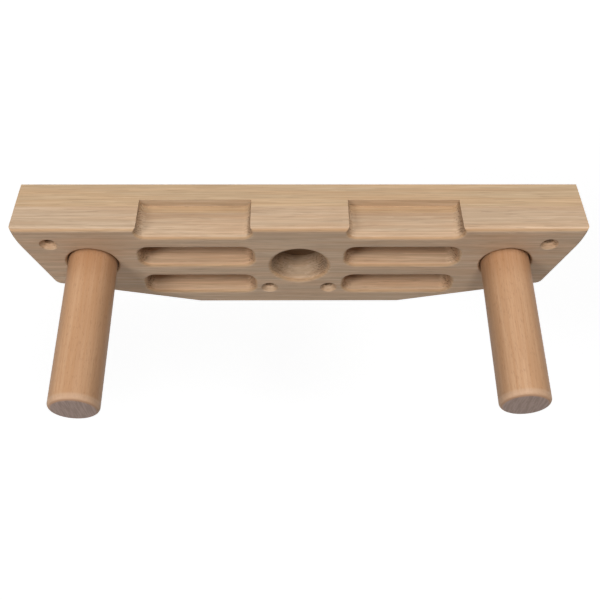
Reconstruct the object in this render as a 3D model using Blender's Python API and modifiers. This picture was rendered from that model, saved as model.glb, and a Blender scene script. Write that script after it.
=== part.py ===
# Hangboard: a climber's training board with two jugs, four finger slots, a round pocket and two loose pegs.
# Metres, +Z up. The back of the board lies on the wall at y = 0 and the climber hangs on the -Y side.
import math

import bmesh
import bpy
from mathutils import Vector

# Board blank: two oak boards glued face to face
BOARD_WIDTH = 0.480
BOARD_HEIGHT = 0.1195
REAR_THICKNESS = 0.027
FRONT_THICKNESS = 0.027
GLUE_GAP = 0.0003
TOP_INCUT = math.radians(10.0)

# Front outline: straight ends that lean inwards to a rounded corner, and a shallow keel
SIDE_HEIGHT = 0.0162
SIDE_RADIUS = 0.090
CORNER_INSET = 0.0196
CORNER_RADIUS = 0.008
KEEL_RISE = 0.0329
KEEL_RUN = 0.1282

# Roundovers on the front
EDGE_ROUNDOVER = 0.004
POCKET_ROUNDOVER = 0.005
BORE_ROUNDOVER = 0.003
SCREW_ROUNDOVER = 0.0012

# Jugs: two recesses milled from the front, open at the top
JUG_GAP = 0.082
JUG_END_TO_BORE = 0.0225
JUG_FLOOR_DROP = 0.0133
JUG_DEPTH = 0.034
JUG_CORNER_RADIUS = 0.007

# Finger slots, two rows of two; a row's place is a share of the board's height, from the top
SLOT_GAP = 0.081
SLOT_END_TO_BORE = 0.021
SLOT_WEB = 0.0184
SLOT_DEPTH = 0.035
SLOT_CORNER_RADIUS = 0.009
UPPER_SLOT_SHARE = 0.3481
LOWER_SLOT_SHARE = 0.7199

# Round pocket in the middle, bored through the front board only
POCKET_RADIUS = 0.024
POCKET_SHARE = 0.4703

# Pegs and their blind bores
PEG_RADIUS = 0.021
PEG_LENGTH = 0.180
PEG_TIP_ROUND = 0.004
PEG_REAR_CHAMFER = 0.0015
PEG_FROM_END = 0.0597
PEG_SHARE = 0.4343
BORE_CLEARANCE = 0.00075
BORE_DEPTH = 0.046
SEAT_GAP = 0.0003
LEFT_PEG_PULLED_OUT = 0.003

# Countersunk screw holes, two near the top corners and two low in the middle
SCREW_HOLE_RADIUS = 0.0039
SCREW_HEAD_RADIUS = 0.0078
SCREW_HEAD_SLOPE = math.radians(45.0)
TOP_SCREW_FROM_END = 0.028
TOP_SCREW_DROP = 0.0226
LOWER_SCREW_SPACING = 0.0538
LOWER_SCREW_RISE = 0.0268

# Fineness of round shapes
ARC_STEPS = 6
ROUNDOVER_STEPS = 4
ROUND_SIDES = 64
CUT_CLEAR = 0.010
WELD = 0.00001
FLAT_ANGLE = math.radians(0.2)

THICKNESS = REAR_THICKNESS + FRONT_THICKNESS
TOP_Z = BOARD_HEIGHT / 2
FRONT_Y = -THICKNESS
GLUE_Y = -REAR_THICKNESS

bore_radius = PEG_RADIUS + BORE_CLEARANCE
bore_end = FRONT_Y + BORE_DEPTH
peg_x = BOARD_WIDTH / 2 - PEG_FROM_END
peg_z = TOP_Z - PEG_SHARE * BOARD_HEIGHT
jug_end = peg_x - bore_radius - JUG_END_TO_BORE
slot_end = peg_x - bore_radius - SLOT_END_TO_BORE
slot_height = (LOWER_SLOT_SHARE - UPPER_SLOT_SHARE) * BOARD_HEIGHT - SLOT_WEB

OAK = (0.56, 0.41, 0.27, 1.0)
OAK_REAR = (0.51, 0.36, 0.22, 1.0)
BEECH = (0.53, 0.30, 0.16, 1.0)


# Scene, collections and materials

for old in list(bpy.data.objects):
    bpy.data.objects.remove(old, do_unlink=True)

parts = bpy.data.collections.new("hangboard")
cutters = bpy.data.collections.new("cutters")
bpy.context.scene.collection.children.link(parts)
bpy.context.scene.collection.children.link(cutters)


def wood(name, colour, roughness):
    material = bpy.data.materials.new(name)
    material.use_nodes = True
    shader = material.node_tree.nodes["Principled BSDF"]
    shader.inputs["Base Color"].default_value = colour
    shader.inputs["Roughness"].default_value = roughness
    shader.inputs["Metallic"].default_value = 0.0
    return material


def add_part(name, mesh, material):
    obj = bpy.data.objects.new(name, mesh)
    mesh.materials.clear()
    mesh.materials.append(material)
    parts.objects.link(obj)
    return obj


def add_cutter(name, data):
    obj = bpy.data.objects.new(name, data)
    cutters.objects.link(obj)
    obj.hide_render = True
    obj.display_type = "WIRE"
    return obj


# Outlines in the front view, as lists of (x, z) points

def rounded(corners):
    """Closed outline through (x, z, radius) corners."""
    points = []
    for index, (x, z, radius) in enumerate(corners):
        here = Vector((x, z))
        before = Vector(corners[index - 1][:2]) - here
        after = Vector(corners[(index + 1) % len(corners)][:2]) - here
        if radius <= 0.0:
            points.append(here)
            continue
        before.normalize()
        after.normalize()
        half = before.angle(after) / 2
        centre = here + (before + after).normalized() * radius / math.sin(half)
        start = here + before * radius / math.tan(half) - centre
        end = here + after * radius / math.tan(half) - centre
        for step in range(ARC_STEPS + 1):
            share = step / ARC_STEPS
            sweep = start.angle(end)
            from_start = start * math.sin((1 - share) * sweep)
            from_end = end * math.sin(share * sweep)
            points.append(centre + (from_start + from_end) / math.sin(sweep))
    return points


def board_outline(inset):
    """Outline of the board before its top is cut, with every edge moved in by the inset."""
    side = BOARD_WIDTH / 2
    corner_x = side - CORNER_INSET
    right = [
        (side, TOP_Z + CUT_CLEAR, 0.0),
        (side, TOP_Z - SIDE_HEIGHT, SIDE_RADIUS),
        (corner_x, KEEL_RISE - TOP_Z, CORNER_RADIUS),
        (corner_x - KEEL_RUN, -TOP_Z, 0.0),
    ]
    corners = right + [(-x, z, radius) for x, z, radius in reversed(right)]
    moved = []
    for index, (x, z, radius) in enumerate(corners):
        here = Vector((x, z))
        behind = (here - Vector(corners[index - 1][:2])).normalized()
        ahead = (Vector(corners[(index + 1) % len(corners)][:2]) - here).normalized()
        inwards = Vector((behind.y + ahead.y, -behind.x - ahead.x))
        here += inwards * inset / (1 + behind.dot(ahead))
        moved.append((here.x, here.y, radius - inset if radius > 0.0 else 0.0))
    return rounded(moved)


def recess_outline(left, right, bottom, top, bottom_radius, top_radius):
    """Outline of a slot or a jug, whose corners are round where their radius is above zero."""
    return rounded([
        (left, top, top_radius),
        (right, top, top_radius),
        (right, bottom, bottom_radius),
        (left, bottom, bottom_radius),
    ])


def slot_outline(left, right, centre_z, grow):
    """Outline of a slot, grown by that much all round."""
    half = slot_height / 2 + grow
    radius = SLOT_CORNER_RADIUS + grow
    return recess_outline(left - grow, right + grow, centre_z - half, centre_z + half, radius, radius)


def jug_outline(left, right, grow):
    """Outline of a jug, which runs out through the top, grown by that much."""
    floor = TOP_Z - JUG_FLOOR_DROP - grow
    radius = JUG_CORNER_RADIUS + grow
    return recess_outline(left - grow, right + grow, floor, TOP_Z + 2 * CUT_CLEAR, radius, 0.0)


# Solids from outlines and turned profiles

def plain_mesh(obj):
    """Evaluated mesh of an object, in world space, with caps welded and flat faces made one."""
    bpy.context.view_layer.update()
    graph = bpy.context.evaluated_depsgraph_get()
    mesh = bpy.data.meshes.new_from_object(obj.evaluated_get(graph), depsgraph=graph)
    mesh.transform(obj.matrix_world)
    work = bmesh.new()
    work.from_mesh(mesh)
    bmesh.ops.remove_doubles(work, verts=work.verts, dist=WELD)
    bmesh.ops.dissolve_limit(work, angle_limit=FLAT_ANGLE, verts=work.verts, edges=work.edges)
    bmesh.ops.recalc_face_normals(work, faces=work.faces)
    work.to_mesh(mesh)
    work.free()
    return mesh


def turned(name, profile, sides):
    """Mesh turned about the Y axis from (radius, y) points that run from the front to the back."""
    mesh = bpy.data.meshes.new(name)
    points = [(radius, 0.0, -y) for radius, y in profile]
    mesh.from_pydata(points, [(i, i + 1) for i in range(len(points) - 1)], [])
    guide = add_cutter(name + "_profile", mesh)
    screw = guide.modifiers.new("turn", "SCREW")
    screw.axis = "Z"
    screw.steps = sides
    screw.render_steps = sides
    screw.use_merge_vertices = True
    screw.merge_threshold = WELD
    screw.use_smooth_shade = True
    guide.rotation_euler = (math.pi / 2, 0.0, 0.0)
    result = plain_mesh(guide)
    bpy.data.objects.remove(guide, do_unlink=True)
    return result


def loft(name, levels):
    """Closed mesh through (outline, y) levels whose outlines have equally many points."""
    work = bmesh.new()
    loops = []
    for outline, y in levels:
        loops.append([work.verts.new((point.x, y, point.y)) for point in outline])
    for near, far in zip(loops, loops[1:]):
        for index in range(len(near)):
            work.faces.new((near[index - 1], near[index], far[index], far[index - 1]))
    work.faces.new(loops[0])
    work.faces.new(loops[-1])
    bmesh.ops.recalc_face_normals(work, faces=work.faces)
    mesh = bpy.data.meshes.new(name)
    work.to_mesh(mesh)
    work.free()
    return mesh


def roundover(radius, turn=math.pi / 2):
    """Growth and depth along an arc from the front face into a wall at that turn from it."""
    widest = radius * math.tan(turn / 2)
    angles = [turn * step / ROUNDOVER_STEPS for step in range(ROUNDOVER_STEPS + 1)]
    return [(widest - radius * math.sin(angle), radius * (1 - math.cos(angle))) for angle in angles]


def mouth(radius, turn=math.pi / 2):
    """Growth and y of a cutter's rounded mouth, which starts well in front of the board."""
    arc = [(grow, FRONT_Y - WELD + depth) for grow, depth in roundover(radius, turn)]
    return [(arc[0][0], FRONT_Y - CUT_CLEAR)] + arc


def round_mouth(hole_radius, radius, turn=math.pi / 2):
    """Profile of a round hole's mouth, from its axis in front of the board to its wall."""
    return [(0.0, FRONT_Y - CUT_CLEAR)] + [(hole_radius + grow, y) for grow, y in mouth(radius, turn)]


def cut(board, tools):
    """Subtracts all the tools from the board for good, in one step."""
    tool_set = bpy.data.collections.new(board.name + "_tools")
    for tool in tools:
        tool_set.objects.link(tool)
    boolean = board.modifiers.new("cut", "BOOLEAN")
    boolean.operation = "DIFFERENCE"
    boolean.solver = "EXACT"
    boolean.operand_type = "COLLECTION"
    boolean.collection = tool_set
    finished = plain_mesh(board)
    board.modifiers.clear()
    board.data = finished
    bpy.data.collections.remove(tool_set)


# Cutters, each used on both boards

top_profile = [(y, TOP_Z - grow) for grow, y in mouth(EDGE_ROUNDOVER, math.pi / 2 + TOP_INCUT)]
top_profile += [
    (CUT_CLEAR, TOP_Z - (THICKNESS + CUT_CLEAR) * math.tan(TOP_INCUT)),
    (CUT_CLEAR, TOP_Z + 3 * CUT_CLEAR),
    (FRONT_Y - CUT_CLEAR, TOP_Z + 3 * CUT_CLEAR),
]
top_profile = [Vector(point) for point in top_profile]
top_reach = BOARD_WIDTH / 2 + CUT_CLEAR
top_cut = add_cutter("top_cut", loft("top", [(top_profile, -top_reach), (top_profile, top_reach)]))
top_cut.rotation_euler = (0.0, 0.0, math.pi / 2)

tools = [top_cut]
for side, word in ((-1, "left"), (1, "right")):
    jug_ends = sorted((side * JUG_GAP / 2, side * jug_end))
    levels = mouth(EDGE_ROUNDOVER) + [(0.0, FRONT_Y + JUG_DEPTH)]
    mesh = loft("jug", [(jug_outline(*jug_ends, grow), y) for grow, y in levels])
    tools.append(add_cutter(word + "_jug_cut", mesh))
    slot_ends = sorted((side * SLOT_GAP / 2, side * slot_end))
    levels = mouth(EDGE_ROUNDOVER) + [(0.0, FRONT_Y + SLOT_DEPTH)]
    for row, share in (("upper", UPPER_SLOT_SHARE), ("lower", LOWER_SLOT_SHARE)):
        slot_z = TOP_Z - share * BOARD_HEIGHT
        mesh = loft("slot", [(slot_outline(*slot_ends, slot_z, grow), y) for grow, y in levels])
        tools.append(add_cutter(word + "_" + row + "_slot_cut", mesh))

bore_profile = round_mouth(bore_radius, BORE_ROUNDOVER) + [(bore_radius, bore_end), (0.0, bore_end)]
bore_mesh = turned("bore", bore_profile, ROUND_SIDES)

pocket_profile = round_mouth(POCKET_RADIUS, POCKET_ROUNDOVER) + [(POCKET_RADIUS, GLUE_Y), (0.0, GLUE_Y)]
pocket_mesh = turned("pocket", pocket_profile, ROUND_SIDES)

screw_seat = FRONT_Y + (SCREW_HEAD_RADIUS - SCREW_HOLE_RADIUS) * math.tan(SCREW_HEAD_SLOPE)
screw_profile = round_mouth(SCREW_HEAD_RADIUS, SCREW_ROUNDOVER, SCREW_HEAD_SLOPE) + [
    (SCREW_HOLE_RADIUS, screw_seat),
    (SCREW_HOLE_RADIUS, CUT_CLEAR),
    (0.0, CUT_CLEAR),
]
screw_mesh = turned("screw", screw_profile, ROUND_SIDES // 2)


def add_round_tool(name, mesh, x, z):
    tool = add_cutter(name, mesh)
    tool.location = (x, 0.0, z)
    tools.append(tool)


top_screw_x = BOARD_WIDTH / 2 - TOP_SCREW_FROM_END
for side, word in ((-1, "left"), (1, "right")):
    add_round_tool(word + "_bore_cut", bore_mesh, side * peg_x, peg_z)
    add_round_tool(word + "_top_screw_cut", screw_mesh, side * top_screw_x, TOP_Z - TOP_SCREW_DROP)
    lower_screw_x = side * LOWER_SCREW_SPACING / 2
    add_round_tool(word + "_lower_screw_cut", screw_mesh, lower_screw_x, LOWER_SCREW_RISE - TOP_Z)
add_round_tool("pocket_cut", pocket_mesh, 0.0, TOP_Z - POCKET_SHARE * BOARD_HEIGHT)


# Boards

rear_levels = [(0.0, GLUE_Y + GLUE_GAP / 2), (0.0, 0.0)]
front_levels = [(inset, FRONT_Y + depth) for inset, depth in roundover(EDGE_ROUNDOVER)]
front_levels.append((0.0, GLUE_Y - GLUE_GAP / 2))
for name, levels, material in (
    ("rear_board", rear_levels, wood("oak_rear", OAK_REAR, 0.55)),
    ("front_board", front_levels, wood("oak", OAK, 0.55)),
):
    mesh = loft(name, [(board_outline(inset), y) for inset, y in levels])
    board = add_part(name, mesh, material)
    cut(board, tools)
    board.data.shade_smooth()
    board.data.set_sharp_from_angle(angle=math.radians(30.0))


# Pegs: the origin is on the joint's axis, where the rear end of the peg is

peg_profile = [(0.0, -PEG_LENGTH)]
for step in range(ROUNDOVER_STEPS + 2):
    angle = math.pi / 2 * step / (ROUNDOVER_STEPS + 1)
    peg_profile.append((
        PEG_RADIUS - PEG_TIP_ROUND * (1 - math.sin(angle)),
        -PEG_LENGTH + PEG_TIP_ROUND * (1 - math.cos(angle)),
    ))
peg_profile += [(PEG_RADIUS, -PEG_REAR_CHAMFER), (PEG_RADIUS - PEG_REAR_CHAMFER, 0.0), (0.0, 0.0)]

beech = wood("beech", BEECH, 0.5)
for side, word, pulled in ((-1, "left", LEFT_PEG_PULLED_OUT), (1, "right", 0.0)):
    peg = add_part(word + "_peg", turned(word + "_peg", peg_profile, ROUND_SIDES), beech)
    peg.location = (side * peg_x, bore_end - SEAT_GAP - pulled, peg_z - (BORE_CLEARANCE - SEAT_GAP))
    peg.data.shade_smooth()
    peg.data.set_sharp_from_angle(angle=math.radians(30.0))
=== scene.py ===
import math

import bmesh
import bpy
from mathutils import Matrix, Vector


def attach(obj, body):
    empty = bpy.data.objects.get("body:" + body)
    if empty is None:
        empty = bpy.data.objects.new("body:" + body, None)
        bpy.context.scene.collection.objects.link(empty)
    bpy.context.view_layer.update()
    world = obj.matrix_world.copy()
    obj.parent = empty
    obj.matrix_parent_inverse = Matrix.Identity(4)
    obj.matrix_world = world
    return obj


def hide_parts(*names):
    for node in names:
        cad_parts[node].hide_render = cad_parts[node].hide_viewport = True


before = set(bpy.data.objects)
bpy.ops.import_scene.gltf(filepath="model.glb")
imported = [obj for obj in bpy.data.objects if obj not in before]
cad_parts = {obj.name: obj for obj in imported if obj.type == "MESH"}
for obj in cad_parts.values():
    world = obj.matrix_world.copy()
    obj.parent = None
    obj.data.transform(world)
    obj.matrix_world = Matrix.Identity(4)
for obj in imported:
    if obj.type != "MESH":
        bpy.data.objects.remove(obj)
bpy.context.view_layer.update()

# Rear plank
# The half of the board that lies on the wall is a 27 mm oak plank, sawn to the outline and planed flat.
# Its top is sawn off at ten degrees, so that it leans in behind the fingers. The jugs, slots, peg bores and
# screw holes reach into it, because all of them are routed after the planks are glued.

board_width = 0.480
board_height = 0.1195
plank_thickness = 0.027
front_y = -2 * plank_thickness
top_z = board_height / 2
incut = math.radians(10.0)
side_drop = 0.0162
side_radius = 0.090
corner_inset = 0.0196
corner_rise = 0.0329
corner_radius = 0.008
keel_inset = 0.1478
glue_film = 0.00005
edge_round = 0.004

# How far the cutters, and the blank before its top is sawn, reach past the finished board
overshoot = 0.010


def rounded(corners, steps=10):
    """Closed outline through corners of (x, z, radius)."""
    points = []
    for index, (x, z, radius) in enumerate(corners):
        here = Vector((x, z))
        if not radius:
            points.append(here)
            continue
        back = (Vector(corners[index - 1][:2]) - here).normalized()
        ahead = (Vector(corners[(index + 1) % len(corners)][:2]) - here).normalized()
        half = back.angle(ahead) / 2
        centre = here + (back + ahead).normalized() * radius / math.sin(half)
        start = here + back * radius / math.tan(half) - centre
        end = here + ahead * radius / math.tan(half) - centre
        for step in range(steps + 1):
            points.append(centre + radius * start.slerp(end, step / steps))
    return points


def board_outline(inset):
    """Outline of the board before its top is sawn, with every edge moved in by the inset."""
    right = [
        (board_width / 2, top_z + overshoot, 0),
        (board_width / 2, top_z - side_drop, side_radius),
        (board_width / 2 - corner_inset, corner_rise - top_z, corner_radius),
        (board_width / 2 - keel_inset, -top_z, 0),
    ]
    corners = right + [(-x, z, radius) for x, z, radius in reversed(right)]
    moved = []
    for index, (x, z, radius) in enumerate(corners):
        here = Vector((x, z))
        behind = (here - Vector(corners[index - 1][:2])).normalized()
        ahead = (Vector(corners[(index + 1) % len(corners)][:2]) - here).normalized()
        inwards = Vector((behind.y + ahead.y, -behind.x - ahead.x)) / (1 + behind.dot(ahead))
        moved.append((*(here + inset * inwards), radius - inset if radius else 0))
    return rounded(moved)


def lofted(name, levels):
    """Closed body through (outline, y) levels of equally many points, with its faces pointing outwards."""
    work = bmesh.new()
    rings = [[work.verts.new((x, y, z)) for x, z in outline] for outline, y in levels]
    for near, far in zip(rings, rings[1:]):
        for i in range(len(near)):
            work.faces.new((near[i - 1], near[i], far[i], far[i - 1]))
    work.faces.new(rings[0])
    work.faces.new(rings[-1])
    bmesh.ops.recalc_face_normals(work, faces=work.faces)
    mesh = bpy.data.meshes.new(name)
    work.to_mesh(mesh)
    work.free()
    body = bpy.data.objects.new(name, mesh)
    bpy.context.scene.collection.objects.link(body)
    return body


def add(tree, kind, inputs=None, **settings):
    """Adds a node, sets its options, and links or fills its inputs."""
    node = tree.nodes.new(kind)
    for option, value in settings.items():
        setattr(node, option, value)
    for key, value in (inputs or {}).items():
        if isinstance(value, bpy.types.NodeSocket):
            tree.links.new(value, node.inputs[key])
        else:
            node.inputs[key].default_value = value
    return node


def shape_tree(name, inputs):
    """New geometry tree with these named inputs, and the node that hands them in."""
    tree = bpy.data.node_groups.new(name, "GeometryNodeTree")
    tree.interface.new_socket("Geometry", in_out="INPUT", socket_type="NodeSocketGeometry")
    for label, kind in inputs.items():
        tree.interface.new_socket(label, in_out="INPUT", socket_type="NodeSocket" + kind)
    tree.interface.new_socket("Geometry", in_out="OUTPUT", socket_type="NodeSocketGeometry")
    return tree, add(tree, "NodeGroupInput").outputs


def hand_out(tree, geometry, material):
    """Ends a geometry tree: real geometry in one material."""
    real = add(tree, "GeometryNodeRealizeInstances", {"Geometry": geometry})
    dressed = add(tree, "GeometryNodeSetMaterial", {"Geometry": real.outputs[0], "Material": material})
    add(tree, "NodeGroupOutput", {"Geometry": dressed.outputs[0]})


def keep_result(piece):
    """Makes a piece's modifiers part of its mesh."""
    bpy.context.view_layer.update()
    graph = bpy.context.evaluated_depsgraph_get()
    mesh = bpy.data.meshes.new_from_object(piece.evaluated_get(graph), depsgraph=graph)
    piece.modifiers.clear()
    piece.data = mesh


def run_tree(piece, tree, values):
    """Runs a geometry tree on a piece with these inputs, and keeps the result as a plain mesh."""
    modifier = piece.modifiers.new(tree.name, "NODES")
    modifier.node_group = tree
    for socket in tree.interface.items_tree:
        if socket.name in values:
            modifier[socket.identifier] = values[socket.name]
    keep_result(piece)


def shade(piece):
    """Smooth over the roundovers, flat on the sawn and planed faces."""
    piece.data.shade_smooth()
    piece.data.set_sharp_from_angle(angle=math.radians(30.0))
    weighted = piece.modifiers.new("face_weights", "WEIGHTED_NORMAL")
    weighted.keep_sharp = True
    keep_result(piece)


def arc(radius, turn=math.pi / 2, steps=8):
    """Growth and depth along a roundover from the front face into a wall at that turn from it."""
    widest = radius * math.tan(turn / 2)
    angles = [turn * step / steps for step in range(steps + 1)]
    return [(widest - radius * math.sin(angle), radius * (1 - math.cos(angle))) for angle in angles]


def mouth(radius, turn=math.pi / 2):
    """Growth and y of a cutter's rounded mouth, which comes in from well before the front face.

    Its curve starts a hair before that face, so that no edge of it lies in the face."""
    lead = 0.00001
    pairs = [(grow, front_y - lead + depth) for grow, depth in arc(radius, turn)]
    return [(pairs[0][0], front_y - overshoot)] + pairs


# Top cutter: a saw cut at the incut, with the roundover of the front edge. It cuts a hair deeper than the
# solids' top, and its outline is drawn as (y, z), so a quarter turn lays it along the board.
saw_allowance = 0.00006
saw_z = top_z - saw_allowance
saw_outline = [(y, saw_z - grow) for grow, y in mouth(edge_round, math.pi / 2 + incut)]
saw_outline += [
    (overshoot, saw_z - (overshoot - front_y) * math.tan(incut)),
    (overshoot, top_z + 3 * overshoot),
    (front_y - overshoot, top_z + 3 * overshoot),
]
saw_reach = board_width / 2 + overshoot
top_cutter = lofted("top_cutter", [(saw_outline, -saw_reach), (saw_outline, saw_reach)])
top_cutter.data.transform(Matrix.Rotation(math.pi / 2, 4, "Z"))


def recess(name, half_width, low, high, low_radius, high_radius, depth):
    """Cutter of a hollow with a rounded mouth, from its middle out to both sides."""
    levels = []
    for grow, y in mouth(edge_round) + [(0, front_y + depth)]:
        wide = half_width + grow
        top_radius = high_radius and high_radius + grow
        levels.append((rounded([
            (-wide, high + grow, top_radius),
            (wide, high + grow, top_radius),
            (wide, low - grow, low_radius + grow),
            (-wide, low - grow, low_radius + grow),
        ]), y))
    return lofted(name, levels)


# Jug cutter: square at the top, where it leaves the board, and rounded at the floor. Its floor falls a
# little from the lip inwards, and its back leans away.
jug_inner_x = 0.041
jug_outer_x = 0.13605
jug_lip_z = top_z - 0.0123
jug_top_z = top_z + 2 * overshoot
jug_depth = 0.034
jug_radius = 0.007
jug_fall = 0.055
jug_lean = 0.12
jug_half_width = (jug_outer_x - jug_inner_x) / 2
jug_cutter = recess("jug_cutter", jug_half_width, jug_lip_z, jug_top_z, jug_radius, 0, jug_depth)
for vertex in jug_cutter.data.vertices:
    inside = max(vertex.co.y - front_y, 0)
    vertex.co.y += jug_lean * (vertex.co.z - jug_lip_z) * inside / jug_depth
    vertex.co.z -= jug_fall * inside

# Slot cutter: 97 by 26 mm with round corners
slot_half_width = 0.0485
slot_half_height = 0.013
slot_radius = 0.009
slot_depth = 0.035
slot_cutter = recess(
    "slot_cutter",
    slot_half_width,
    -slot_half_height,
    slot_half_height,
    slot_radius,
    slot_radius,
    slot_depth,
)

# The round cutters are turned from half profiles of (radius, y): flat ones for the pocket, which stops as
# it breaks through the glue line, and for the peg bores, and a stepped one for the screw holes.
turned_tree, given = shape_tree("turned_shape", {"Sides": "Int", "Material": "Material"})
lathe_core = 0.001
weld = 0.000001
profile = add(turned_tree, "GeometryNodeMeshToCurve", {"Mesh": given["Geometry"]})
inwards = add(turned_tree, "GeometryNodeSetPosition", {
    "Geometry": profile.outputs[0],
    "Offset": (-lathe_core, 0, 0),
})
around = add(turned_tree, "GeometryNodeCurvePrimitiveCircle", {
    "Resolution": given["Sides"],
    "Radius": lathe_core,
})
swept = add(turned_tree, "GeometryNodeCurveToMesh", {
    "Curve": around.outputs[0],
    "Profile Curve": inwards.outputs[0],
})
closed = add(turned_tree, "GeometryNodeMergeByDistance", {"Geometry": swept.outputs[0], "Distance": weld})
along_y = add(turned_tree, "GeometryNodeTransform", {
    "Geometry": closed.outputs[0],
    "Rotation": (math.pi / 2, 0, 0),
})
hand_out(turned_tree, along_y.outputs[0], given["Material"])


def turned(name, profile_points, sides, material=None):
    """Solid turned about the Y axis through (radius, y) points, with its faces pointing outwards."""
    edges = [(i, i + 1) for i in range(len(profile_points) - 1)]
    mesh = bpy.data.meshes.new(name)
    mesh.from_pydata([(radius, y, 0) for radius, y in profile_points], edges, [])
    piece = bpy.data.objects.new(name, mesh)
    bpy.context.scene.collection.objects.link(piece)
    run_tree(piece, turned_tree, {"Sides": sides, "Material": material})
    work = bmesh.new()
    work.from_mesh(piece.data)
    bmesh.ops.recalc_face_normals(work, faces=work.faces)
    work.to_mesh(piece.data)
    work.free()
    return piece


def round_mouth(hole_radius, radius, turn=math.pi / 2):
    """Half profile of a round hole's mouth, from its axis before the board to its wall."""
    return [(0, front_y - overshoot)] + [(hole_radius + grow, y) for grow, y in mouth(radius, turn)]


pocket_radius = 0.024
pocket_round = 0.005
pocket_end = -plank_thickness + glue_film
pocket_sides = 96
pocket_profile = round_mouth(pocket_radius, pocket_round) + [(pocket_radius, pocket_end), (0, pocket_end)]
pocket_cutter = turned("pocket_cutter", pocket_profile, pocket_sides)

peg_radius = 0.021
peg_sides = 96
bore_clearance = 0.00075
bore_radius = peg_radius + bore_clearance
bore_round = 0.003
bore_depth = 0.046
bore_end = front_y + bore_depth
bore_profile = round_mouth(bore_radius, bore_round) + [(bore_radius, bore_end), (0, bore_end)]
bore_cutter = turned("bore_cutter", bore_profile, peg_sides)

screw_head_radius = 0.0078
screw_hole_radius = 0.0039
screw_round = 0.0012
screw_slope = math.radians(45)
screw_sides = 48
screw_seat = front_y + screw_head_radius - screw_hole_radius
screw_profile = round_mouth(screw_head_radius, screw_round, screw_slope)
screw_profile += [(screw_hole_radius, screw_seat), (screw_hole_radius, overshoot), (0, overshoot)]
screw_cutter = turned("screw_cutter", screw_profile, screw_sides)

# One tree routes a plank: each cutter that comes in pairs goes to both sides of the middle
peg_x = 0.1803
peg_z = top_z - 0.0519
layout = {
    "Top Cutter": top_cutter,
    "Jug Cutter": jug_cutter,
    "Jug Spacing": jug_inner_x + jug_outer_x,
    "Slot Cutter": slot_cutter,
    "Slot Spacing": 0.178,
    "Upper Slots": top_z - 0.0416,
    "Lower Slots": top_z - 0.0860,
    "Pocket Cutter": pocket_cutter,
    "Pocket Height": top_z - 0.0562,
    "Bore Cutter": bore_cutter,
    "Bore Spacing": 2 * peg_x,
    "Bore Height": peg_z,
    "Screw Cutter": screw_cutter,
    "Top Screw Spacing": 0.424,
    "Top Screw Height": top_z - 0.0226,
    "Low Screw Spacing": 0.0538,
    "Low Screw Height": 0.0268 - top_z,
}
kinds = {label: "Object" if label.endswith("Cutter") else "Float" for label in layout}
routing_tree, given = shape_tree("routed_plank", kinds | {"Material": "Material"})
hollows = add(routing_tree, "GeometryNodeJoinGeometry")


def route(tool, height=None, spacing=None):
    """Places a cutter at that height, in the middle or to both sides of it."""
    shape = add(routing_tree, "GeometryNodeObjectInfo", {"Object": given[tool]}).outputs["Geometry"]
    if spacing is None:
        place = add(routing_tree, "ShaderNodeCombineXYZ", {"Z": given[height] if height else 0.0})
        placed = add(routing_tree, "GeometryNodeTransform", {
            "Geometry": shape,
            "Translation": place.outputs[0],
        })
        routing_tree.links.new(placed.outputs[0], hollows.inputs[0])
        return
    left = add(routing_tree, "ShaderNodeMath", {0: given[spacing], 1: -0.5}, operation="MULTIPLY")
    start = add(routing_tree, "ShaderNodeCombineXYZ", {"X": left.outputs[0]})
    if height:
        routing_tree.links.new(given[height], start.inputs["Z"])
    stride = add(routing_tree, "ShaderNodeCombineXYZ", {"X": given[spacing]})
    points = add(routing_tree, "GeometryNodeMeshLine", {
        "Count": 2,
        "Start Location": start.outputs[0],
        "Offset": stride.outputs[0],
    })
    pair = add(routing_tree, "GeometryNodeInstanceOnPoints", {
        "Points": points.outputs[0],
        "Instance": shape,
    })
    routing_tree.links.new(pair.outputs[0], hollows.inputs[0])


route("Top Cutter")
route("Jug Cutter", None, "Jug Spacing")
route("Slot Cutter", "Upper Slots", "Slot Spacing")
route("Slot Cutter", "Lower Slots", "Slot Spacing")
route("Pocket Cutter", "Pocket Height")
route("Bore Cutter", "Bore Height", "Bore Spacing")
route("Screw Cutter", "Top Screw Height", "Top Screw Spacing")
route("Screw Cutter", "Low Screw Height", "Low Screw Spacing")
tools = add(routing_tree, "GeometryNodeRealizeInstances", {"Geometry": hollows.outputs[0]})
routed = add(
    routing_tree,
    "GeometryNodeMeshBoolean",
    {"Mesh 1": given["Geometry"], "Mesh 2": tools.outputs[0], "Self Intersection": True},
    operation="DIFFERENCE",
    solver="EXACT",
)
joined = add(routing_tree, "GeometryNodeMergeByDistance", {
    "Geometry": routed.outputs[0],
    "Distance": weld,
})
hand_out(routing_tree, joined.outputs[0], given["Material"])


def blend(tree, share, first, second, mode="MIX"):
    """Mixes two colours by a share, which may each be a socket or a plain value."""
    inputs = {0: share, 6: first, 7: second}
    return add(tree, "ShaderNodeMix", inputs, data_type="RGBA", blend_type=mode).outputs[2]


def between(tree, value, low, high, to_low=0.0, to_high=1.0):
    """Maps a value from one range to another, smoothly and within the limits."""
    inputs = {0: value, 1: low, 2: high, 3: to_low, 4: to_high}
    return add(tree, "ShaderNodeMapRange", inputs, interpolation_type="SMOOTHSTEP").outputs[0]


def grain(tree, place, scale, detail, roughness=0.5):
    """Noise with about that many spots per metre along each of the three axes."""
    stretched = add(tree, "ShaderNodeVectorMath", {0: place, 1: scale}, operation="MULTIPLY").outputs[0]
    noise = add(tree, "ShaderNodeTexNoise", {
        "Vector": stretched,
        "Scale": 1.0,
        "Detail": detail,
        "Roughness": roughness,
    })
    return noise.outputs[0]


def product(tree, value, factor):
    """One value times another."""
    return add(tree, "ShaderNodeMath", {0: value, 1: factor}, operation="MULTIPLY").outputs[0]


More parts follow.
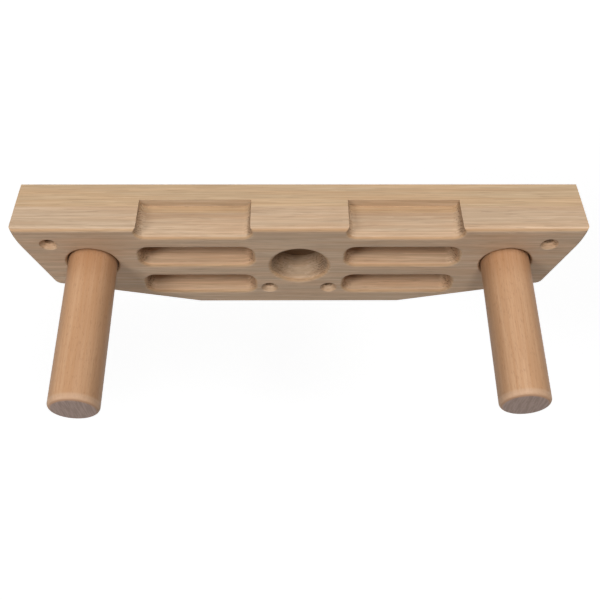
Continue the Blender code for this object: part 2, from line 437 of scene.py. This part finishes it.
def faces_along(tree, axis):
    """How squarely the surface faces along one axis, either way, from 0 to 1."""
    coordinates = add(tree, "ShaderNodeTexCoord")
    turned_to = add(tree, "ShaderNodeSeparateXYZ", {0: coordinates.outputs["Normal"]}).outputs[axis]
    return add(tree, "ShaderNodeMath", {0: turned_to}, operation="ABSOLUTE").outputs[0]


def noted(tree, note):
    """What mark_routing, below, has noted for a point of the plank."""
    return add(tree, "ShaderNodeAttribute", attribute_name=note).outputs["Fac"]


def tinted(tree, share, colour, tint):
    """Multiplies a colour by a tint, as far as the share says."""
    return blend(tree, share, colour, blend(tree, 1.0, colour, tint, "MULTIPLY"))


def new_wood(name, seed):
    """New material, a point's place, and that place moved by the seed, for a grain of its own."""
    material = bpy.data.materials.new(name)
    material.use_nodes = True
    here = add(material.node_tree, "ShaderNodeTexCoord").outputs["Object"]
    moved = add(material.node_tree, "ShaderNodeVectorMath", {0: here, 1: seed}, operation="ADD")
    return material, here, moved.outputs[0]


def oak(name, pale, dark, y_face_light_tint, heart, seed):
    """Sawn oak with its fibres along X, and painted light, lighter and bluer, on the flat faces that look
    along Y.

    Growth rings lie around its heart, about 2 mm apart. Its open pores are dashes on the faces and dots on
    the ends. Its roundovers are tinted darker and warmer, painted bounce light makes the slots and
    countersinks lighter and warmer, and painted shade darkens the floors of the jugs and of the pocket."""
    material, here, place = new_wood(name, seed)
    tree = material.node_tree
    shader = tree.nodes["Principled BSDF"]
    warm = (1.03, 0.985, 0.95, 1)
    cool = (0.99, 1.0, 1.01, 1)
    pore_colour = (0.38 * dark[0], 0.32 * dark[1], 0.27 * dark[2], 1)
    pores_on_faces = (0.25, 0.25, 0.25, 1)
    pores_on_ends = (0.80, 0.80, 0.80, 1)
    ring_tint = (0.62, 0.57, 0.53, 1)
    end_tint = (0.82, 0.80, 0.78, 1)
    roundover_tint = (0.97, 0.88, 0.77, 1)
    bounce_light_tint = (1.12, 1.06, 1.01, 1)
    jug_floor_shade_tint = (0.78, 0.74, 0.70, 1)
    pocket_shade_tint = (0.46, 0.40, 0.36, 1)

    sway = between(tree, grain(tree, place, (4, 25, 25), 2), 0.2, 0.8, -0.005, 0.005)
    waver = between(tree, grain(tree, place, (14, 160, 160), 2), 0.2, 0.8, -0.0009, 0.0009)
    shift = add(tree, "ShaderNodeMath", {0: sway, 1: waver}, operation="ADD").outputs[0]
    bent = add(tree, "ShaderNodeCombineXYZ", {"Y": shift, "Z": shift}).outputs[0]
    centred = add(tree, "ShaderNodeVectorMath", {0: here, 1: heart}, operation="SUBTRACT").outputs[0]
    centred = add(tree, "ShaderNodeVectorMath", {0: centred, 1: bent}, operation="ADD").outputs[0]
    rings = add(
        tree,
        "ShaderNodeTexWave",
        {"Vector": centred, "Scale": 140.0},
        wave_type="RINGS",
        rings_direction="X",
        wave_profile="SAW",
    ).outputs["Fac"]
    figure = grain(tree, place, (5, 55, 38), 3)
    streaks = grain(tree, place, (5, 430, 250), 2, 0.70)
    fibres = grain(tree, place, (16, 800, 460), 2, 0.70)
    early = between(tree, rings, 0.15, 0.60, 1.0, 0.05)
    pores = product(tree, between(tree, grain(tree, place, (40, 1000, 920), 1), 0.50, 0.58), early)
    ends = between(tree, faces_along(tree, "X"), 0.35, 0.95)
    facing = faces_along(tree, "Y")
    # The roundovers, turned partly away from Y, are tinted darker and warmer
    routed = product(tree, between(tree, facing, 0.40, 0.62), between(tree, facing, 0.84, 0.99, 1.0, 0.0))
    routed = product(tree, routed, noted(tree, "rounded_over"))
    painted_bounce_light = noted(tree, "painted_bounce_light")
    jug_floor_shade = product(tree, noted(tree, "deep_in_jug"), between(tree, faces_along(tree, "Z"), 0.6, 0.95))
    pocket_shade = noted(tree, "deep_in_pocket")

    colour = blend(tree, between(tree, rings, 0.10, 1.0, 0.0, 0.38), pale, dark)
    colour = blend(tree, between(tree, figure, 0.35, 0.70, 0.0, 0.35), colour, dark)
    colour = blend(tree, between(tree, streaks, 0.46, 0.58, 0.0, 0.60), colour, dark)
    colour = blend(tree, between(tree, fibres, 0.43, 0.57, 0.0, 0.50), colour, dark)
    hue = between(tree, grain(tree, place, (7, 130, 130), 2), 0.35, 0.65)
    colour = blend(tree, 1.0, colour, blend(tree, hue, warm, cool), "MULTIPLY")
    pore_depth = blend(tree, ends, pores_on_faces, pores_on_ends)
    colour = blend(tree, product(tree, pores, pore_depth), colour, pore_colour)
    # Painted light: the flat faces that look along Y are made lighter and bluer
    colour = tinted(tree, between(tree, facing, 0.93, 0.99), colour, y_face_light_tint)
    colour = tinted(tree, product(tree, product(tree, early, ends), 0.50), colour, ring_tint)
    colour = tinted(tree, ends, colour, end_tint)
    colour = tinted(tree, routed, colour, roundover_tint)
    # Painted bounce light: the slots and countersinks are made lighter and warmer
    colour = tinted(tree, painted_bounce_light, colour, bounce_light_tint)
    # Painted shade: the jug floors are darkened where they reach the rear plank
    colour = tinted(tree, jug_floor_shade, colour, jug_floor_shade_tint)
    # Painted shade: the pocket's floor in the rear plank is darkened strongly
    colour = tinted(tree, pocket_shade, colour, pocket_shade_tint)
    tree.links.new(colour, shader.inputs["Base Color"])

    tree.links.new(between(tree, streaks, 0.2, 0.8, 0.62, 0.50), shader.inputs["Roughness"])
    relief = add(tree, "ShaderNodeMath", {0: fibres, 1: pores}, operation="SUBTRACT").outputs[0]
    bump = add(tree, "ShaderNodeBump", {"Strength": 0.35, "Distance": 0.00025, "Height": relief})
    tree.links.new(bump.outputs[0], shader.inputs["Normal"])
    shader.inputs["Specular IOR Level"].default_value = 0.20
    return material


def mark_routing(plank):
    """Notes how each point was made and where it lies, for its colour.

    A roundover bit has met all but the countersinks. The slots, and a little less the countersinks, get
    painted bounce light. The floors of the jugs and of the pocket get painted shade where they reach the
    rear plank."""
    edge = 0.001
    screw_reach = 0.0095
    slot_reach_x = 0.0505
    slot_reach_z = 0.015
    jug_reach_low = 0.040
    jug_reach_high = jug_lip_z + 0.003
    under_slot_mouth = front_y + 0.0015
    under_screw_mouth = front_y + 0.0003
    notes = {"rounded_over": [], "painted_bounce_light": [], "deep_in_jug": [], "deep_in_pocket": []}
    screws = [
        (layout["Top Screw Spacing"] / 2, layout["Top Screw Height"]),
        (layout["Low Screw Spacing"] / 2, layout["Low Screw Height"]),
    ]
    for point in plank.data.vertices:
        x, y, z = abs(point.co.x), point.co.y, point.co.z
        in_rear = y > -plank_thickness - 0.0001
        near_screw = any(math.hypot(x - across, z - up) < screw_reach for across, up in screws)
        in_row = any(abs(z - layout[row]) < slot_reach_z for row in ("Upper Slots", "Lower Slots"))
        in_slot = in_row and abs(x - layout["Slot Spacing"] / 2) < slot_reach_x and y > under_slot_mouth
        in_screw = near_screw and y > under_screw_mouth
        at_lip = jug_reach_low < z < jug_reach_high
        in_jug = jug_inner_x - edge < x < jug_outer_x + edge and at_lip
        in_round = math.hypot(x, z - layout["Pocket Height"]) < pocket_radius + edge
        notes["rounded_over"].append(0.0 if near_screw else 1.0)
        # Painted bounce light: full in the slots, and 0.7 of it in the countersinks
        notes["painted_bounce_light"].append(1.0 if in_slot else 0.7 if in_screw else 0.0)
        # Where the painted shade of the jug floors goes
        notes["deep_in_jug"].append(1.0 if in_jug and in_rear else 0.0)
        # Where the painted shade of the pocket's floor goes
        notes["deep_in_pocket"].append(1.0 if in_round and y > -plank_thickness else 0.0)
    for note, values in notes.items():
        plank.data.attributes.new(note, "FLOAT", "POINT").data.foreach_set("value", values)


rear_oak = oak(
    "rear_oak",
    pale=(0.640, 0.474, 0.308, 1),
    dark=(0.465, 0.310, 0.180, 1),
    # Painted light on the faces that look along Y: lighter and bluer
    y_face_light_tint=(1.06, 1.09, 1.16, 1),
    heart=(0, 0.38, -0.45),
    seed=(0.7, 0.2, 0.4),
)
rear_levels = [(board_outline(0), -plank_thickness + glue_film / 2), (board_outline(0), 0)]
rear_plank = lofted("rear_oak_plank", rear_levels)
run_tree(rear_plank, routing_tree, layout | {"Material": rear_oak})
mark_routing(rear_plank)
shade(rear_plank)
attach(rear_plank, "board")
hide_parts("rear_board")

# Front plank
# The climber's half of the board, cut from another oak plank and glued to the first over its whole face.
# A router has run a 4 mm roundover along its front edge, in and out of both jugs, and eased every mouth.

front_oak = oak(
    "front_oak",
    pale=(0.645, 0.479, 0.332, 1),
    dark=(0.465, 0.320, 0.205, 1),
    # Painted light on the faces that look along Y: lighter and bluer
    y_face_light_tint=(1.04, 1.04, 1.06, 1),
    heart=(0, -0.47, -0.42),
    seed=(0.1, 0.9, 0.3),
)
front_levels = [(board_outline(inset), front_y + depth) for inset, depth in arc(edge_round)]
front_levels.append((board_outline(0), -plank_thickness - glue_film / 2))
front_plank = lofted("front_oak_plank", front_levels)
run_tree(front_plank, routing_tree, layout | {"Material": front_oak})
mark_routing(front_plank)
shade(front_plank)
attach(front_plank, "board")
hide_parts("front_board")

for tool in (top_cutter, jug_cutter, slot_cutter, pocket_cutter, bore_cutter, screw_cutter):
    bpy.data.objects.remove(tool)

# Pegs
# Two grips of steamed beech, turned to 42 mm and 180 mm long, with a sanded roundover on the outer end.
# They push into the bores by hand. The left one stands 3 mm further out than the right one.

peg_length = 0.180
tip_round = 0.004
tip_steps = 10
rear_chamfer = 0.0015
seat_gap = 0.0003


def steamed_beech(name, tip_y, seed):
    """Beech with its fibres along Y: a soft figure, fine fibres and short dark flecks.

    Painted shade makes it darker and warmer by the board and darker on the flanks, and it is paler in a
    band at the tip. On the end it shows the lines of its rings in darker end grain, greyed by painted cool
    shade."""
    material, here, place = new_wood(name, seed)
    tree = material.node_tree
    shader = tree.nodes["Principled BSDF"]
    pale = (0.560, 0.339, 0.197, 1)
    dark = (0.465, 0.262, 0.139, 1)
    streak_colour = (0.460, 0.245, 0.120, 1)
    fibre_colour = (0.410, 0.212, 0.104, 1)
    fleck_colour = (0.250, 0.115, 0.055, 1)
    board_shade_tint = (0.84, 0.79, 0.74, 1)
    flank_shade_tint = (0.76, 0.75, 0.75, 1)
    tip_band_colour = (0.590, 0.410, 0.290, 1)
    rim_colour = (0.430, 0.250, 0.150, 1)
    end_pale = (0.400, 0.278, 0.226, 1)
    end_dark = (0.315, 0.213, 0.170, 1)

    figure = grain(tree, place, (70, 4, 70), 3)
    streaks = grain(tree, place, (420, 9, 420), 3, 0.6)
    fibres = grain(tree, place, (900, 30, 900), 2, 0.6)
    flecks = between(tree, grain(tree, place, (1100, 200, 1100), 1), 0.58, 0.68)
    along = add(tree, "ShaderNodeSeparateXYZ", {0: here}).outputs["Y"]
    facing = faces_along(tree, "Y")

    colour = blend(tree, between(tree, figure, 0.35, 0.68), pale, dark)
    colour = blend(tree, between(tree, streaks, 0.42, 0.62, 0.0, 0.50), colour, streak_colour)
    colour = blend(tree, between(tree, fibres, 0.38, 0.66, 0.0, 0.25), colour, fibre_colour)
    colour = blend(tree, product(tree, flecks, 0.22), colour, fleck_colour)
    # Painted shade: darker and warmer near the board
    colour = tinted(tree, between(tree, along, -0.088, -0.056), colour, board_shade_tint)
    # Painted shade: the flanks, which face along X, are darkened
    flank_shade = between(tree, faces_along(tree, "X"), 0.50, 1.0, 0.0, 0.7)
    colour = tinted(tree, flank_shade, colour, flank_shade_tint)
    # A paler band within a few millimetres of the tip
    tip_band = between(tree, along, tip_y + 0.0045, tip_y + 0.0070, 1.0, 0.0)
    colour = blend(tree, product(tree, tip_band, 0.40), colour, tip_band_colour)
    colour = blend(tree, between(tree, facing, 0.62, 0.85), colour, rim_colour)
    # The end: darker end grain with the lines of its rings, and greyer with painted cool shade
    end_lines = between(tree, grain(tree, place, (620, 9, 60), 2), 0.40, 0.60)
    end_grain_and_shade = blend(tree, end_lines, end_pale, end_dark)
    colour = blend(tree, between(tree, facing, 0.90, 0.99), colour, end_grain_and_shade)
    tree.links.new(colour, shader.inputs["Base Color"])

    tree.links.new(between(tree, streaks, 0.2, 0.8, 0.56, 0.44), shader.inputs["Roughness"])
    relief = add(tree, "ShaderNodeMath", {0: fibres, 1: flecks}, operation="SUBTRACT").outputs[0]
    bump = add(tree, "ShaderNodeBump", {"Strength": 0.25, "Distance": 0.0002, "Height": relief})
    tree.links.new(bump.outputs[0], shader.inputs["Normal"])
    shader.inputs["Specular IOR Level"].default_value = 0.20
    return material


peg_profile = [(0, -peg_length)]
for step in range(tip_steps + 1):
    angle = math.pi / 2 * step / tip_steps
    peg_profile.append((
        peg_radius - tip_round * (1 - math.sin(angle)),
        -peg_length + tip_round * (1 - math.cos(angle)),
    ))
peg_profile += [(peg_radius, -rear_chamfer), (peg_radius - rear_chamfer, 0), (0, 0)]

for side, word, pulled_out in ((-1, "left", 0.003), (1, "right", 0.0)):
    seat = (side * peg_x, bore_end - seat_gap - pulled_out, peg_z - (bore_radius - peg_radius - seat_gap))
    beech = steamed_beech(word + "_steamed_beech", seat[1] - peg_length, (0.3 * side, 0.4, 0.2 * side))
    peg = turned(word + "_beech_peg", peg_profile, peg_sides, beech)
    peg.data.transform(Matrix.Translation(seat))
    shade(peg)
    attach(peg, word + "_peg")
    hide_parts(word + "_peg")

# Studio
# The board hangs at working height over a pale floor, which keeps its soft shadow. Three soft lamps light
# it, from the left, from above in front and from overhead, with a little even light from the room.

floor_z = -1.1
floor_corners = [(x, y, floor_z) for x, y in ((-12, -12), (12, -12), (12, 12), (-12, 12))]
floor_mesh = bpy.data.meshes.new("floor")
floor_mesh.from_pydata(floor_corners, [], [(0, 1, 2, 3)])
floor = bpy.data.objects.new("floor", floor_mesh)
bpy.context.scene.collection.objects.link(floor)


def seen_directly(tree):
    """1 for what the camera sees, also in gloss or through glass, and 0 for light on the board."""
    rays = add(tree, "ShaderNodeLightPath").outputs
    seen = rays["Is Camera Ray"]
    for other in ("Is Glossy Ray", "Is Transmission Ray"):
        seen = add(tree, "ShaderNodeMath", {0: seen, 1: rays[other]}, operation="MAXIMUM").outputs[0]
    return seen


# White paper: it keeps the shadow in the middle, and fades to plain white around it
paper = bpy.data.materials.new("white_paper")
paper.use_nodes = True
tree = paper.node_tree
tree.nodes.clear()
matt = add(tree, "ShaderNodeBsdfDiffuse", {"Color": (0.80, 0.80, 0.80, 1)})
here = add(tree, "ShaderNodeTexCoord").outputs["Object"]
from_middle = add(tree, "ShaderNodeVectorMath", {0: here, 1: (0, 0, floor_z)}, operation="DISTANCE")
white_share = between(tree, from_middle.outputs["Value"], 0.5, 3.0, 0.60, 1.0)
white_seen = product(tree, seen_directly(tree), white_share)
lift = add(tree, "ShaderNodeEmission", {"Color": (1, 1, 1, 1), "Strength": white_seen})
both = add(tree, "ShaderNodeAddShader", {0: matt.outputs[0], 1: lift.outputs[0]})
add(tree, "ShaderNodeOutputMaterial", {"Surface": both.outputs[0]})
floor_mesh.materials.append(paper)

world = bpy.data.worlds.new("soft_room")
bpy.context.scene.world = world
world.use_nodes = True
tree = world.node_tree
tree.nodes.clear()
room = add(tree, "ShaderNodeBackground", {"Color": (1, 1, 1, 1), "Strength": 0.12})
white = add(tree, "ShaderNodeBackground", {"Color": (1, 1, 1, 1), "Strength": 1.0})
shown = add(tree, "ShaderNodeMixShader", {0: seen_directly(tree), 1: room.outputs[0], 2: white.outputs[0]})
add(tree, "ShaderNodeOutputWorld", {"Surface": shown.outputs[0]})

board_middle = (0, -0.05, 0)


def softbox(name, place, size, watts):
    """A round white lamp of that size, turned to the middle of the board."""
    lamp = bpy.data.lights.new(name, "AREA")
    lamp.shape = "DISK"
    lamp.size = size
    lamp.energy = watts
    holder = bpy.data.objects.new(name, lamp)
    holder.location = place
    holder.rotation_euler = (Vector(board_middle) - Vector(place)).to_track_quat("-Z", "Y").to_euler()
    bpy.context.scene.collection.objects.link(holder)


softbox("left_softbox", place=(-1.15, -0.93, 1.34), size=0.7, watts=15.8)
softbox("front_softbox", place=(0.35, -0.77, 1.81), size=0.6, watts=16.0)
softbox("overhead_softbox", place=(0.35, -0.05, 1.97), size=0.5, watts=14.0)

# Camera
# It looks down at the board at sixty degrees from in front, as the photograph does, with a slight turn
# and roll. Its lens is the one that the photograph's outlines were fitted with.

camera_data = bpy.data.cameras.new("camera")
camera_data.sensor_width = 36.0
camera_data.lens = 51.3
camera = bpy.data.objects.new("camera", camera_data)
look_down = math.radians(59.99)
turn = math.radians(0.93)
roll = math.radians(0.73)
eye = (-0.00558, -0.45607, 0.64007)
aim = Matrix.Rotation(-turn, 4, "Z") @ Matrix.Rotation(math.pi / 2 - look_down, 4, "X")
aim = aim @ Matrix.Rotation(roll, 4, "Z")
camera.matrix_world = Matrix.Translation(eye) @ aim
bpy.context.scene.collection.objects.link(camera)
bpy.context.scene.camera = camera
bpy.context.scene.view_settings.view_transform = "Standard"
